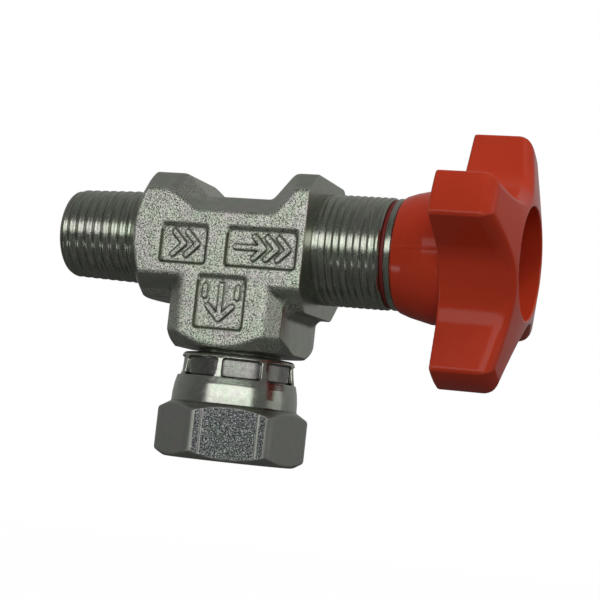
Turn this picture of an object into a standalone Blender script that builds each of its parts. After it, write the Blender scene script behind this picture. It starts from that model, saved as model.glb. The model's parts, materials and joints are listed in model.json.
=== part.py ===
"""Needle valve for a pressure gauge: forged 90 degree body with a taper-threaded inlet,
a panel-mounting bonnet with a four-lobed knob, and a swivel gauge nut on the branch.

Frame: origin at the centre of the inlet stub's end face, +X along the main axis towards
the knob, -Z down the gauge branch, -Y towards the face with the recessed panels.
The valve is closed at rest. Sizes are in millimetres and are scaled to metres on output.
"""
from math import atan2, cos, hypot, pi, radians, sin, tau

import bmesh
import bpy
from mathutils import Matrix, Vector

MM = 0.001

# ---- driving dimensions (mm) ----
SEGMENTS = 40            # facets round a large turned piece
SMALL_SEGMENTS = 24      # facets round an inner turned piece
RING_SEGMENTS = 24       # facets round an O-ring or washer

INLET_LENGTH = 11.6      # inlet stub, to the cone of the forging
INLET_CREST = 6.39       # R 1/4 crest radius at the end face
INLET_TAPER = 1.0 / 32.0  # radius gained per mm (1 in 16 on diameter)
INLET_PITCH = 1.337
INLET_THREAD_DEPTH = 0.75
INLET_BORE = 2.5
ORIFICE = 1.6            # seat orifice radius
ORIFICE_START = 19.0
SEAT_X = 22.0

HALF_THICKNESS = 9.4     # forging, front face to main axis
RIDGE_HALF = 5.5         # half width of the top and side planes
RIGHT_RIDGE_HALF = 6.1   # the same on the right boss
LEFT_FRONT = 5.9         # half height of the left boss's front face
LEFT_TOP = 9.0           # height of the left boss's top plane
NECK_FRONT = 3.2
NECK_TOP = 5.9
RIGHT_FRONT = 6.8
RIGHT_TOP = 9.7
PANEL_FACE_X = 38.9      # shoulder that clamps against a panel

BRANCH_X = 27.8          # branch and gauge nut axis
BRANCH_FRONT = 6.2       # half width of the branch's front face
BRANCH_SIDE = 8.9
BRANCH_END = -15.6
BRANCH_BORE = 2.25
SPIGOT_END = -22.0
SPIGOT_RADIUS = 6.5
CRIMP_GROOVE_RADIUS = 5.9
CRIMP_GROOVE_END = -18.2

BONNET_END = 50.4
BONNET_CREST = 7.85      # M16 x 1 crest radius
BONNET_PITCH = 1.0
BONNET_THREAD_DEPTH = 0.55
BONNET_THREAD_START = 39.5
BONNET_SHOULDER = 7.9     # plain start of the bonnet, which a panel's hole passes over
BONNET_THREAD_TURNS = 9
RING_GROOVE = (48.9, 49.6, 7.0)      # start, end, radius
CHAMBER = (22.0, 30.0, 4.4)          # flow chamber: start, end, radius
SPINDLE_THREAD = (30.0, 42.3, 5.15)  # internal thread core
GLAND_BORE_RADIUS = 6.0
CIRCLIP_GROOVE = (47.7, 48.25, 6.45)

NUT_TOP = -16.2
NUT_END = -31.1
NUT_FLATS = 19.0
NUT_HEX_TOP = -23.4
NUT_HEX_TURN = 18.5      # degrees, a flat's normal from -Y towards +X
NUT_POCKETS = 8
NUT_POCKET_TURN = 24.5   # degrees, a pocket's centre from -Y towards +X
NUT_COLLAR = 8.45
NUT_NECK = 8.8
NUT_POCKET_FLOOR = 7.85
NUT_POCKET_HALF = 2.75
NUT_POCKET_SPAN = (-19.5, -16.9)
NUT_SOCKET = 5.9

KNOB_START = 50.6
KNOB_RECESS_RADIUS = 7.6
KNOB_RECESS_FLOOR = 60.6
KNOB_RIM_X = 68.2
LOBE_BACK = 57.8
LOBE_FRONT_SLOPE = 0.21  # the front face drops this much per mm of radius
LOBE_RADIUS = 18.6
LOBE_TIP_HALF = 3.25     # half width of a lobe at its tip
LOBE_ROOT = 12.6         # radius where a lobe's straight flanks end
LOBE_ROOT_HALF = 4.05
LOBE_COUNT = 4
LOBE_TURN = 69.5         # degrees, first lobe from +Z towards -Y
SCALLOP_ROOT = 9.9
SHANK = 3.5              # spindle shank radius
SQUARE = 2.5             # half the spindle square

COLOURS = {
    "zinc_forged": ((0.62, 0.62, 0.59), 0.42, 1.0),
    "zinc_turned": ((0.60, 0.61, 0.58), 0.28, 1.0),
    "stainless": ((0.55, 0.55, 0.56), 0.25, 1.0),
    "brass": ((0.72, 0.55, 0.26), 0.32, 1.0),
    "spring_steel": ((0.20, 0.20, 0.21), 0.40, 1.0),
    "red_plastic": ((0.78, 0.07, 0.03), 0.20, 0.0),
    "red_seal": ((0.50, 0.06, 0.04), 0.50, 0.0),
    "black_rubber": ((0.03, 0.03, 0.03), 0.60, 0.0),
    "white_ptfe": ((0.85, 0.85, 0.82), 0.45, 0.0),
}


def clear_scene():
    for old in list(bpy.data.objects):
        bpy.data.objects.remove(old, do_unlink=True)


def material(slot):
    found = bpy.data.materials.get(slot)
    if found:
        return found
    colour, roughness, metallic = COLOURS[slot]
    made = bpy.data.materials.new(slot)
    made.use_nodes = True
    shader = made.node_tree.nodes["Principled BSDF"]
    shader.inputs["Base Color"].default_value = (*colour, 1.0)
    shader.inputs["Roughness"].default_value = roughness
    shader.inputs["Metallic"].default_value = metallic
    return made


# ---- mesh building ----
def to_object(bm, name, slot=None):
    """Scale a millimetre mesh to metres, face it outward and link it as an object."""
    bmesh.ops.recalc_face_normals(bm, faces=bm.faces)
    bmesh.ops.scale(bm, vec=(MM, MM, MM), verts=bm.verts)
    mesh = bpy.data.meshes.new(name)
    bm.to_mesh(mesh)
    bm.free()
    made = bpy.data.objects.new(name, mesh)
    bpy.context.scene.collection.objects.link(made)
    if slot:
        finish(made, slot)
    return made


def finish(made, slot):
    """Give an object its material, with smooth round faces and crisp edges."""
    made.data.materials.clear()
    made.data.materials.append(material(slot))
    made.data.shade_smooth()
    made.data.set_sharp_from_angle(angle=radians(32))


def turned(name, profile, segments=SMALL_SEGMENTS, slot=None, axis="X", centre=0.0, phase=0.0):
    """Turn a closed outline of (along, radius) pairs about the main axis or the branch axis.

    phase turns the facets by a part of one facet, so that two turned surfaces that meet
    don't share their facet edges.
    """
    bm = bmesh.new()
    if axis == "X":
        points = [Vector((along, 0.0, radius)) for along, radius in profile]
        centre_point, direction = Vector((0, 0, 0)), Vector((1, 0, 0))
    else:
        points = [Vector((centre + radius, 0.0, along)) for along, radius in profile]
        centre_point, direction = Vector((centre, 0, 0)), Vector((0, 0, 1))
    verts = [bm.verts.new(p) for p in points]
    on_axis = [radius < 1e-9 for _, radius in profile]
    edges = []
    for i in range(len(verts)):
        j = (i + 1) % len(verts)
        if not (on_axis[i] and on_axis[j]):
            edges.append(bm.edges.new((verts[i], verts[j])))
    bmesh.ops.spin(bm, geom=verts + edges, cent=centre_point, axis=direction, dvec=(0, 0, 0),
                   angle=tau, steps=segments, use_merge=False, use_duplicate=False)
    bmesh.ops.remove_doubles(bm, verts=bm.verts, dist=1e-4)
    bm.normal_update()
    line = Vector((0, 0, 0)) if axis == "X" else Vector((centre, 0, 0))
    poles = [v for v in bm.verts if (v.co - line).cross(direction).length < 1e-6]
    flat_poles = [v for v in poles if all(abs(f.normal.dot(direction)) > 0.999 for f in v.link_faces)]
    bmesh.ops.dissolve_verts(bm, verts=flat_poles)
    bmesh.ops.rotate(bm, verts=bm.verts, cent=centre_point,
                     matrix=Matrix.Rotation(phase * tau / segments, 3, axis))
    return to_object(bm, name, slot)


def prism(name, outline, start, end, axis="X", centre=(0.0, 0.0), slot=None):
    """Extrude a closed outline along an axis; the outline's pairs are the other two axes."""
    def place(u, v, w):
        if axis == "X":
            return (w, u + centre[0], v + centre[1])
        if axis == "Y":
            return (u + centre[0], w, v + centre[1])
        return (u + centre[0], v + centre[1], w)
    bm = bmesh.new()
    face = bm.faces.new([bm.verts.new(place(u, v, start)) for u, v in outline])
    grown = bmesh.ops.extrude_face_region(bm, geom=[face])
    moved = [g for g in grown["geom"] if isinstance(g, bmesh.types.BMVert)]
    shift = Vector(place(0, 0, end)) - Vector(place(0, 0, start))
    bmesh.ops.translate(bm, verts=moved, vec=shift)
    return to_object(bm, name, slot)


def block(name, low, high, turn=None):
    """A box between two corners, optionally turned by a matrix."""
    bm = bmesh.new()
    bmesh.ops.create_cube(bm, size=1.0)
    size = [b - a for a, b in zip(low, high)]
    middle = [(a + b) / 2 for a, b in zip(low, high)]
    bmesh.ops.scale(bm, vec=size, verts=bm.verts)
    bmesh.ops.translate(bm, vec=middle, verts=bm.verts)
    if turn is not None:
        bmesh.ops.transform(bm, matrix=turn, verts=bm.verts)
    return to_object(bm, name)


def combine(target, other, operation):
    """Apply one exact Boolean to the target and remove the other object."""
    step = target.modifiers.new(operation, "BOOLEAN")
    step.operation = operation
    step.solver = "EXACT"
    step.object = other
    graph = bpy.context.evaluated_depsgraph_get()
    done = bpy.data.meshes.new_from_object(target.evaluated_get(graph))
    target.modifiers.remove(step)
    target.data = done
    bpy.data.objects.remove(other, do_unlink=True)


def set_origin(made, point):
    """Move an object's origin to a point (mm) without moving its mesh."""
    place = Vector(point) * MM
    made.data.transform(Matrix.Translation(-place))
    made.location = place


def rename_mesh(made):
    made.data.name = made.name


# ---- outlines ----
def thread_outline(start, turns, pitch, depth, crest):
    """Crest and root points of annular ridges; crest(x) gives the crest radius."""
    points = []
    for i in range(turns):
        x = start + i * pitch
        points.append((x, crest(x)))
        points.append((x + pitch / 2, crest(x) - depth))
    return points + [(start + turns * pitch, crest(start + turns * pitch))]


def octagon_ring(x_front, x_ridge, front_up, top, front_down, bottom, ridge=RIDGE_HALF):
    """Eight corners of one cross-section of the forged bar."""
    t, b = HALF_THICKNESS, ridge
    return [(x_front, -t, front_up), (x_ridge, -b, top), (x_ridge, b, top), (x_front, t, front_up),
            (x_front, t, -front_down), (x_ridge, b, -bottom), (x_ridge, -b, -bottom),
            (x_front, -t, -front_down)]


def loft(name, rings):
    """Join rings of equal length into one closed solid."""
    bm = bmesh.new()
    layers = [[bm.verts.new(p) for p in ring] for ring in rings]
    count = len(layers[0])
    for lower, upper in zip(layers, layers[1:]):
        for i in range(count):
            j = (i + 1) % count
            bm.faces.new((lower[i], lower[j], upper[j], upper[i]))
    bm.faces.new(layers[0])
    bm.faces.new(layers[-1])
    bmesh.ops.recalc_face_normals(bm, faces=bm.faces)
    bmesh.ops.triangulate(bm, faces=bm.faces)
    return to_object(bm, name)


def circle_points(radius, count, turn=0.0):
    return [(radius * cos(turn + tau * i / count), radius * sin(turn + tau * i / count))
            for i in range(count)]


# ---- valve body ----
def forged_bar():
    """The horizontal bar: left boss, notched neck on top, right boss."""
    deep_left, deep_right = (LEFT_FRONT, LEFT_TOP), (RIGHT_FRONT, RIGHT_TOP)
    rings = [
        octagon_ring(10.9, 10.9, LEFT_FRONT, LEFT_TOP, *deep_left),
        octagon_ring(18.3, 18.9, LEFT_FRONT, LEFT_TOP, *deep_left),
        octagon_ring(21.9, 21.9, NECK_FRONT, NECK_TOP, *deep_left),
        octagon_ring(34.0, 32.2, NECK_FRONT, NECK_TOP, *deep_right),
        octagon_ring(37.0, 35.7, RIGHT_FRONT, RIGHT_TOP, *deep_right, RIGHT_RIDGE_HALF),
        octagon_ring(PANEL_FACE_X, PANEL_FACE_X, RIGHT_FRONT, RIGHT_TOP, *deep_right, RIGHT_RIDGE_HALF),
    ]
    return loft("valve_body", rings)


def forged_branch():
    t, b, f, s = HALF_THICKNESS, RIDGE_HALF, BRANCH_FRONT, BRANCH_SIDE
    outline = [(-f, -t), (f, -t), (s, -b), (s, b), (f, t), (-f, t), (-s, b), (-s, -b)]
    return prism("branch", outline, -2.0, BRANCH_END, axis="Z", centre=(BRANCH_X, 0.0))


def corner_gusset():
    """Small web between the right boss's underside and the branch's side."""
    side = BRANCH_X + BRANCH_SIDE
    low = -RIGHT_TOP
    outline = [(side - 1.0, low + 1.0), (side + 1.7, low + 1.0), (side + 1.7, low - 0.1),
               (side + 0.55, low - 0.5), (side + 0.1, low - 1.7), (side - 1.0, low - 1.7)]
    return prism("gusset", outline, -RIDGE_HALF + 0.3, RIDGE_HALF - 0.3, axis="Y")


def inlet_cone_cutter():
    """Ring that turns the forging's inlet end to a cone."""
    slope = 0.72
    inner, outer = 6.4, 12.8
    at = lambda radius: 13.5 + slope * (radius - 9.4)
    return turned("inlet_cone", [(at(inner), inner), (at(outer), outer), (9.0, outer), (9.0, inner)],
                  SEGMENTS, phase=0.5)


def branch_cone_cutter():
    """Ring that turns the branch's lower end to a 40 degree cone."""
    slope = 0.83
    at = lambda radius: BRANCH_END + slope * (radius - 9.0)
    return turned("branch_cone", [(at(8.8), 8.8), (-17.0, 8.8), (-17.0, 13.4), (at(13.4), 13.4)],
                  SEGMENTS, axis="Z", centre=BRANCH_X, phase=0.5)


def inlet_stub():
    crest = lambda x: INLET_CREST + INLET_TAPER * x
    outline = [(0.0, 0.0), (0.0, 5.75), (0.7, crest(0.7) - 0.2)]
    outline += thread_outline(1.0, 7, INLET_PITCH, INLET_THREAD_DEPTH, crest)
    outline += [(INLET_LENGTH + 1.0, crest(INLET_LENGTH)), (INLET_LENGTH + 1.0, 0.0)]
    return turned("inlet_stub", outline, SEGMENTS)


def bonnet():
    crest = lambda x: BONNET_CREST
    start, end, groove = RING_GROOVE
    outline = [(36.0, 0.0), (36.0, BONNET_SHOULDER), (BONNET_THREAD_START - 0.3, BONNET_SHOULDER)]
    outline += thread_outline(BONNET_THREAD_START, BONNET_THREAD_TURNS, BONNET_PITCH,
                              BONNET_THREAD_DEPTH, crest)
    outline += [(start, 7.4), (start, groove), (end, groove), (end, 7.65), (BONNET_END - 0.35, 7.65),
                (BONNET_END, 7.25), (BONNET_END, 0.0)]
    return turned("bonnet", outline, SEGMENTS)


def spigot():
    """Lower stub of the body with the groove that the nut's collar is crimped into."""
    outline = [(BRANCH_END + 1.0, 0.0), (BRANCH_END + 1.0, CRIMP_GROOVE_RADIUS),
               (CRIMP_GROOVE_END, CRIMP_GROOVE_RADIUS), (CRIMP_GROOVE_END, SPIGOT_RADIUS),
               (SPIGOT_END + 0.5, SPIGOT_RADIUS), (SPIGOT_END, SPIGOT_RADIUS - 0.5), (SPIGOT_END, 0.0)]
    return turned("spigot", outline, SEGMENTS, axis="Z", centre=BRANCH_X)


def main_bore():
    """Inlet bore, seat orifice, chamber, spindle thread and gland bore as one cutter."""
    outline = [(-1.0, 0.0), (-1.0, INLET_BORE), (ORIFICE_START, INLET_BORE),
               (ORIFICE_START + 0.9, ORIFICE), (SEAT_X, ORIFICE), (CHAMBER[0], CHAMBER[2]),
               (CHAMBER[1], CHAMBER[2]), (SPINDLE_THREAD[0], SPINDLE_THREAD[2]),
               (SPINDLE_THREAD[1], SPINDLE_THREAD[2]), (SPINDLE_THREAD[1], GLAND_BORE_RADIUS),
               (CIRCLIP_GROOVE[0], GLAND_BORE_RADIUS), (CIRCLIP_GROOVE[0], CIRCLIP_GROOVE[2]),
               (CIRCLIP_GROOVE[1], CIRCLIP_GROOVE[2]), (CIRCLIP_GROOVE[1], GLAND_BORE_RADIUS),
               (BONNET_END + 1.0, GLAND_BORE_RADIUS), (BONNET_END + 1.0, 0.0)]
    return turned("main_bore", outline, SMALL_SEGMENTS)


def branch_passage():
    outline = [(-1.5, 0.0), (SPIGOT_END - 1.0, 0.0), (SPIGOT_END - 1.0, BRANCH_BORE),
               (-1.5, BRANCH_BORE)]
    return turned("branch_passage", outline, SMALL_SEGMENTS, axis="Z", centre=BRANCH_X)


def front_panels():
    """Three shallow rectangular recesses forged into the front face."""
    depth = 0.4
    front = -HALF_THICKNESS
    spans = [((17.7, -4.3), (24.6, 1.2)), ((27.5, -4.3), (37.8, 1.2)), ((23.9, -13.1), (31.1, -5.7))]
    return [block("panel", (x0, front - 1.0, z0), (x1, front + depth, z1))
            for (x0, z0), (x1, z1) in spans]


def make_valve_body():
    body = forged_bar()
    combine(body, forged_branch(), "UNION")
    combine(body, corner_gusset(), "UNION")
    combine(body, inlet_cone_cutter(), "DIFFERENCE")
    combine(body, branch_cone_cutter(), "DIFFERENCE")
    for added in (inlet_stub(), bonnet(), spigot()):
        combine(body, added, "UNION")
    for cut in [main_bore(), branch_passage()] + front_panels():
        combine(body, cut, "DIFFERENCE")
    finish(body, "zinc_forged")


# ---- swivel gauge nut and its seal ----
def make_gauge_nut():
    hex_radius = NUT_FLATS / 2 / cos(pi / 6)
    turn = radians(NUT_HEX_TURN - 90.0 + 30.0)
    nut = prism("gauge_nut", circle_points(hex_radius, 6, turn), NUT_HEX_TOP, NUT_END, axis="Z",
                centre=(BRANCH_X, 0.0))
    corner, across = 10.65, NUT_FLATS / 2
    envelope = [(NUT_HEX_TOP + 1.0, 0.0), (NUT_HEX_TOP + 1.0, across - 0.5), (NUT_HEX_TOP, across - 0.5),
                (NUT_HEX_TOP - 1.0, corner), (NUT_END + 1.0, corner), (NUT_END, across - 0.45),
                (NUT_END - 1.0, across - 0.45), (NUT_END - 1.0, 0.0)]
    combine(nut, turned("envelope", envelope, SEGMENTS, axis="Z", centre=BRANCH_X), "INTERSECT")
    collar = [(NUT_HEX_TOP - 1.0, 0.0), (NUT_HEX_TOP - 1.0, NUT_NECK), (-21.2, NUT_NECK),
              (-20.2, NUT_NECK - 0.15), (-19.6, NUT_COLLAR + 0.1), (NUT_TOP - 0.3, NUT_COLLAR),
              (NUT_TOP, NUT_COLLAR - 0.3), (NUT_TOP, 0.0)]
    combine(nut, turned("collar", collar, SEGMENTS, axis="Z", centre=BRANCH_X), "UNION")
    for i in range(NUT_POCKETS):
        angle = radians(NUT_POCKET_TURN - 90.0 + i * 360.0 / NUT_POCKETS)
        place = Matrix.Translation((BRANCH_X, 0, 0)) @ Matrix.Rotation(angle, 4, "Z")
        pocket = block("pocket", (NUT_POCKET_FLOOR, -NUT_POCKET_HALF, NUT_POCKET_SPAN[0]),
                       (NUT_NECK + 1.0, NUT_POCKET_HALF, NUT_POCKET_SPAN[1]), place)
        combine(nut, pocket, "DIFFERENCE")
    bore = [(NUT_TOP + 1.0, 0.0), (NUT_TOP + 1.0, 6.2), (-17.9, 6.2), (-17.9, 6.8), (-22.3, 6.8),
            (-22.3, NUT_SOCKET), (NUT_END + 0.6, NUT_SOCKET), (NUT_END, 6.6), (NUT_END - 1.0, 6.6),
            (NUT_END - 1.0, 0.0)]
    combine(nut, turned("nut_bore", bore, SEGMENTS, axis="Z", centre=BRANCH_X), "DIFFERENCE")
    finish(nut, "zinc_turned")
    set_origin(nut, (BRANCH_X, 0.0, NUT_END))


def make_gauge_seal_ring():
    top, bottom = SPIGOT_END - 0.2, SPIGOT_END - 1.4
    turned("gauge_seal_ring", [(top, 2.6), (top, 5.6), (bottom, 5.6), (bottom, 2.6)],
           RING_SEGMENTS, "white_ptfe", axis="Z", centre=BRANCH_X)


# ---- needle and spindle ----
def make_needle():
    """Cone-tipped needle with a headed tail that the spindle's nose holds."""
    tip = SEAT_X - 1.4
    outline = [(tip, 0.0), (tip, 0.5), (tip + 3.64, 2.6), (26.2, 2.6), (26.2, 1.1), (28.5, 1.1),
               (28.5, 1.7), (29.3, 1.7), (29.3, 0.0)]
    turned("needle", outline, SMALL_SEGMENTS, "stainless")


def make_spindle():
    """Nose with needle socket, 1 mm pitch thread, plain shank and square end with a tapped hole."""
    outline = [(27.2, 3.3), (30.3, 3.3), (30.6, 4.4)]
    outline += thread_outline(31.0, 7, 1.0, 0.5, lambda x: 4.9)
    outline += [(38.4, 4.4), (38.4, SHANK), (53.6, SHANK), (53.8, 3.45), (59.1, 3.45),
                (59.1, 1.75), (53.1, 1.75), (52.4, 0.0), (29.8, 0.0), (29.8, 2.6), (27.2, 2.6)]
    spindle = turned("spindle", outline, SMALL_SEGMENTS)
    for i in range(4):
        place = Matrix.Rotation(i * pi / 2, 4, "X")
        flat = block("flat", (53.6, -6.0, SQUARE), (60.6, 6.0, 8.0), place)
        combine(spindle, flat, "DIFFERENCE")
    finish(spindle, "stainless")


def make_needle_retaining_ring():
    turned("needle_retaining_ring", [(27.4, 1.35), (27.4, 2.4), (28.2, 2.4), (28.2, 1.35)],
           RING_SEGMENTS, "spring_steel")


# ---- gland ----
def o_ring(name, x, radius, section, slot):
    """A ring of round section about the main axis."""
    outline = [(x + section * cos(tau * i / 8), radius + section * sin(tau * i / 8)) for i in range(8)]
    turned(name, outline, RING_SEGMENTS, slot)


def washer(name, start, end, inner, outer, slot):
    turned(name, [(start, inner), (start, outer), (end, outer), (end, inner)], RING_SEGMENTS, slot)


def make_gland():
    washer("thrust_washer", 42.55, 43.25, 3.8, 5.75, "brass")
    washer("backup_ring_inner", 43.4, 43.95, 3.65, 5.8, "white_ptfe")
    o_ring("spindle_o_ring", 44.98, 4.72, 0.9, "black_rubber")
    washer("backup_ring_outer", 46.0, 46.4, 3.65, 5.8, "white_ptfe")
    bush = [(46.55, 3.75), (46.55, 5.8), (46.75, 5.8), (46.75, 5.1), (47.35, 5.1), (47.35, 5.8),
            (47.6, 5.8), (47.6, 5.15), (52.6, 5.15), (52.6, 4.75), (51.3, 4.75), (51.3, 3.75)]
    turned("gland_bush", bush, SMALL_SEGMENTS, "brass")
    o_ring("gland_o_ring", 47.05, 5.52, 0.24, "black_rubber")
    washer("wiper_ring", 51.45, 52.5, 3.65, 4.6, "black_rubber")


def split_ring(name, start, end, inner, outer, gap, slot):
    """A flat spring ring with a gap, cut on its lower side."""
    ring = turned(name, [(start, inner), (start, outer), (end, outer), (end, inner)], RING_SEGMENTS)
    combine(ring, block("gap", (start - 1, -gap / 2, -outer - 1), (end + 1, gap / 2, 0.0)), "DIFFERENCE")
    finish(ring, slot)


def make_gland_circlip():
    start, end, radius = CIRCLIP_GROOVE
    split_ring("gland_circlip", start + 0.08, end - 0.08, 5.4, radius - 0.15, 2.2, "spring_steel")


def make_bonnet_ring():
    start, end, root = RING_GROOVE
    middle = (start + end) / 2
    outline = [(start + 0.08, root + 0.08), (start + 0.08, 7.4), (middle, 7.55), (end - 0.08, 7.4),
               (end - 0.08, root + 0.08)]
    turned("bonnet_ring", outline, SEGMENTS, "red_seal")


# ---- knob ----
def knob_outline():
    """Four tapering lobes on a shallow-scalloped hub, as (Y, Z) pairs.

    Each lobe has an arc at its tip, straight flanks down to its root and a shallow arc
    across the scallop to the next lobe.
    """
    half_pitch = pi / LOBE_COUNT
    tip_half = LOBE_TIP_HALF / LOBE_RADIUS
    root_half = LOBE_ROOT_HALF / LOBE_ROOT
    reach = half_pitch - root_half
    px, py = LOBE_ROOT * cos(reach), LOBE_ROOT * sin(reach)
    distance = (px * px + py * py - SCALLOP_ROOT ** 2) / (2 * (px - SCALLOP_ROOT))
    radius = distance - SCALLOP_ROOT
    spread = atan2(py, distance - px)
    tip_steps, scallop_steps = 4, 6
    polar = []
    for lobe in range(LOBE_COUNT):
        middle = radians(LOBE_TURN) + lobe * 2 * half_pitch
        for i in range(tip_steps + 1):
            polar.append((middle + tip_half * (2 * i / tip_steps - 1), LOBE_RADIUS))
        for i in range(scallop_steps + 1):
            swing = spread * (1 - 2 * i / scallop_steps)
            x, y = distance - radius * cos(swing), radius * sin(swing)
            polar.append((middle + half_pitch - atan2(y, x), hypot(x, y)))
    return [(-r * sin(angle), r * cos(angle)) for angle, r in polar]


def inset(outline, amount):
    """Move every point of a closed outline inward along its own normal."""
    moved = []
    for i, (y, z) in enumerate(outline):
        before, after = outline[i - 1], outline[(i + 1) % len(outline)]
        dy, dz = after[0] - before[0], after[1] - before[1]
        length = hypot(dy, dz)
        side = 1.0 if y * dz - z * dy > 0 else -1.0
        moved.append((y - side * amount * dz / length, z + side * amount * dy / length))
    return moved


def lobe_front(y, z):
    """X of the knob's conical front face at a point."""
    return KNOB_RIM_X - 0.1 - LOBE_FRONT_SLOPE * (hypot(y, z) - 8.4)


def lobed_disc():
    """The four lobes as one solid with rounded back and front edges."""
    outline = knob_outline()
    back_edge = inset(outline, 0.35)
    front_edge, front_face = inset(outline, 0.35), inset(outline, 1.3)
    rim = [(8.4 * y / hypot(y, z), 8.4 * z / hypot(y, z)) for y, z in outline]
    rings = [[(LOBE_BACK, y, z) for y, z in back_edge],
             [(LOBE_BACK + 0.35, y, z) for y, z in outline],
             [(lobe_front(y, z) - 1.4, y, z) for y, z in outline],
             [(lobe_front(y, z) - 0.5, y, z) for y, z in front_edge],
             [(lobe_front(y, z), y, z) for y, z in front_face],
             [(lobe_front(y, z), y, z) for y, z in rim]]
    return loft("knob", rings)


def make_knob():
    knob = lobed_disc()
    hub = [(KNOB_START, 0.0), (KNOB_START, 7.4), (KNOB_START + 0.15, 7.95), (51.2, 8.25), (55.2, 9.4),
           (LOBE_BACK + 1.0, 9.4), (LOBE_BACK + 2.0, 8.0), (KNOB_RIM_X, 8.0), (KNOB_RIM_X, 0.0)]
    combine(knob, turned("hub", hub, SEGMENTS, phase=0.5), "UNION")
    cavity = [(KNOB_START - 1.0, 0.0), (KNOB_START - 1.0, 5.6), (53.6, 5.6), (53.6, 5.2), (59.4, 5.2),
              (59.4, 2.2), (KNOB_RECESS_FLOOR, 2.2), (KNOB_RECESS_FLOOR, KNOB_RECESS_RADIUS - 0.1),
              (KNOB_RIM_X - 0.3, KNOB_RECESS_RADIUS), (KNOB_RIM_X + 1.0, KNOB_RECESS_RADIUS + 0.1),
              (KNOB_RIM_X + 1.0, 0.0)]
    combine(knob, turned("cavity", cavity, SEGMENTS), "DIFFERENCE")
    finish(knob, "red_plastic")


def make_knob_insert():
    """Brass hub insert with a square socket for the spindle."""
    outline = [(53.8, 0.0), (53.8, 5.0), (55.6, 5.0), (55.6, 4.6), (57.4, 4.6), (57.4, 5.0), (59.2, 5.0),
               (59.2, 0.0)]
    insert = turned("knob_insert", outline, SMALL_SEGMENTS)
    half = SQUARE + 0.12
    square = [(-half, -half), (half, -half), (half, half), (-half, half)]
    combine(insert, prism("socket", square, 52.6, 60.6), "DIFFERENCE")
    relief = turned("relief", [(53.6, 0.0), (53.6, 3.7), (54.1, 3.7), (54.1, 0.0)], SMALL_SEGMENTS)
    combine(insert, relief, "DIFFERENCE")
    finish(insert, "brass")


def make_knob_fasteners():
    washer("knob_washer", KNOB_RECESS_FLOOR + 0.12, KNOB_RECESS_FLOOR + 0.6, 1.75, 4.5, "zinc_turned")
    split_ring("knob_spring_washer", 61.32, 61.9, 1.75, 2.9, 0.5, "spring_steel")
    head, top = 62.02, 63.8
    outline = [(53.8, 0.0), (53.8, 1.2), (54.1, 1.5), (head, 1.5), (head, 2.85), (top - 0.25, 2.85),
               (top, 2.6), (top, 0.0)]
    screw = turned("knob_screw", outline, RING_SEGMENTS)
    across = 1.28
    hexagon = circle_points(across / cos(pi / 6), 6)
    combine(screw, prism("drive", hexagon, top - 1.1, top + 1.0), "DIFFERENCE")
    finish(screw, "zinc_turned")


def main():
    clear_scene()
    make_valve_body()
    make_gauge_nut()
    make_gauge_seal_ring()
    make_needle()
    make_spindle()
    make_needle_retaining_ring()
    make_gland()
    make_gland_circlip()
    make_bonnet_ring()
    make_knob()
    make_knob_insert()
    make_knob_fasteners()
    for made in bpy.data.objects:
        rename_mesh(made)


main()
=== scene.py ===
"""Looks of a needle valve: fine meshes, procedural finishes, studio light and camera
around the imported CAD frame.

Lengths in this script are millimetres in the frame's own axes (X along the main axis,
Z up, -Y out of the front face) and are scaled to metres when a mesh is written.
Forged and moulded pieces are signed distance fields meshed on a grid; turned pieces
are profiles turned about their axis, with true helical threads.
"""
import json
from math import cos, pi, radians, sin, tau

import bmesh
import bpy
import numpy as np
from mathutils import Matrix, Vector


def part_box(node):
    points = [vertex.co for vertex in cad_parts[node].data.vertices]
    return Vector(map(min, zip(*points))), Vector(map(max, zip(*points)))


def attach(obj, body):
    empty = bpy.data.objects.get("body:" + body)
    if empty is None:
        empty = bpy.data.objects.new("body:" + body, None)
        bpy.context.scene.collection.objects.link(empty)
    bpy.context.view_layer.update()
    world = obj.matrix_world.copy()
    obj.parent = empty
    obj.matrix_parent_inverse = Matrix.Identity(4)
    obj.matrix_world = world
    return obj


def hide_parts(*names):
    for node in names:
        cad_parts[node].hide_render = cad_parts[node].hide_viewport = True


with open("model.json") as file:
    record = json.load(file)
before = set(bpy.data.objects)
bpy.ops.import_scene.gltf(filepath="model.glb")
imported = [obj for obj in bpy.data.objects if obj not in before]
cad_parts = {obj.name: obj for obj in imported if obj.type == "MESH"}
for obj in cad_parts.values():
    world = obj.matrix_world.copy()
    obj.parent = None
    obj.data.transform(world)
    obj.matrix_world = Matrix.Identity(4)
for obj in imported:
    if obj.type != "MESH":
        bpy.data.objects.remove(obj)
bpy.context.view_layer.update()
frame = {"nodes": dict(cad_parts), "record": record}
MM = 0.001


def node_span(node):
    """Lowest and highest corner of a CAD node in millimetres."""
    low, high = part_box(node)
    return np.array(low) / MM, np.array(high) / MM


# ---- driving dimensions, from the frame where it states them ----
BODY_LOW, BODY_HIGH = node_span("valve_body")
NUT_LOW, NUT_HIGH = node_span("gauge_nut")
KNOB_LOW, KNOB_HIGH = node_span("knob")

HALF_THICKNESS = BODY_HIGH[1]        # front and back faces of the forging
BONNET_END = BODY_HIGH[0]
SPIGOT_END = BODY_LOW[2]
BRANCH_X = (NUT_LOW[0] + NUT_HIGH[0]) / 2
NUT_TOP, NUT_END = NUT_HIGH[2], NUT_LOW[2]
KNOB_START, KNOB_RIM = KNOB_LOW[0], KNOB_HIGH[0]

FORGING_CELL = 0.17                  # grid steps of the distance fields
NUT_CELL = 0.16
KNOB_CELL = 0.21
SCREW_CELL = 0.09
MARGIN = 0.4                         # free space around a field inside its grid
BEND_REACH = 0.4                     # distance at which a surface's bend is felt
TURNED_SEGMENTS = 144
BONNET_SEGMENTS = 176

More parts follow.
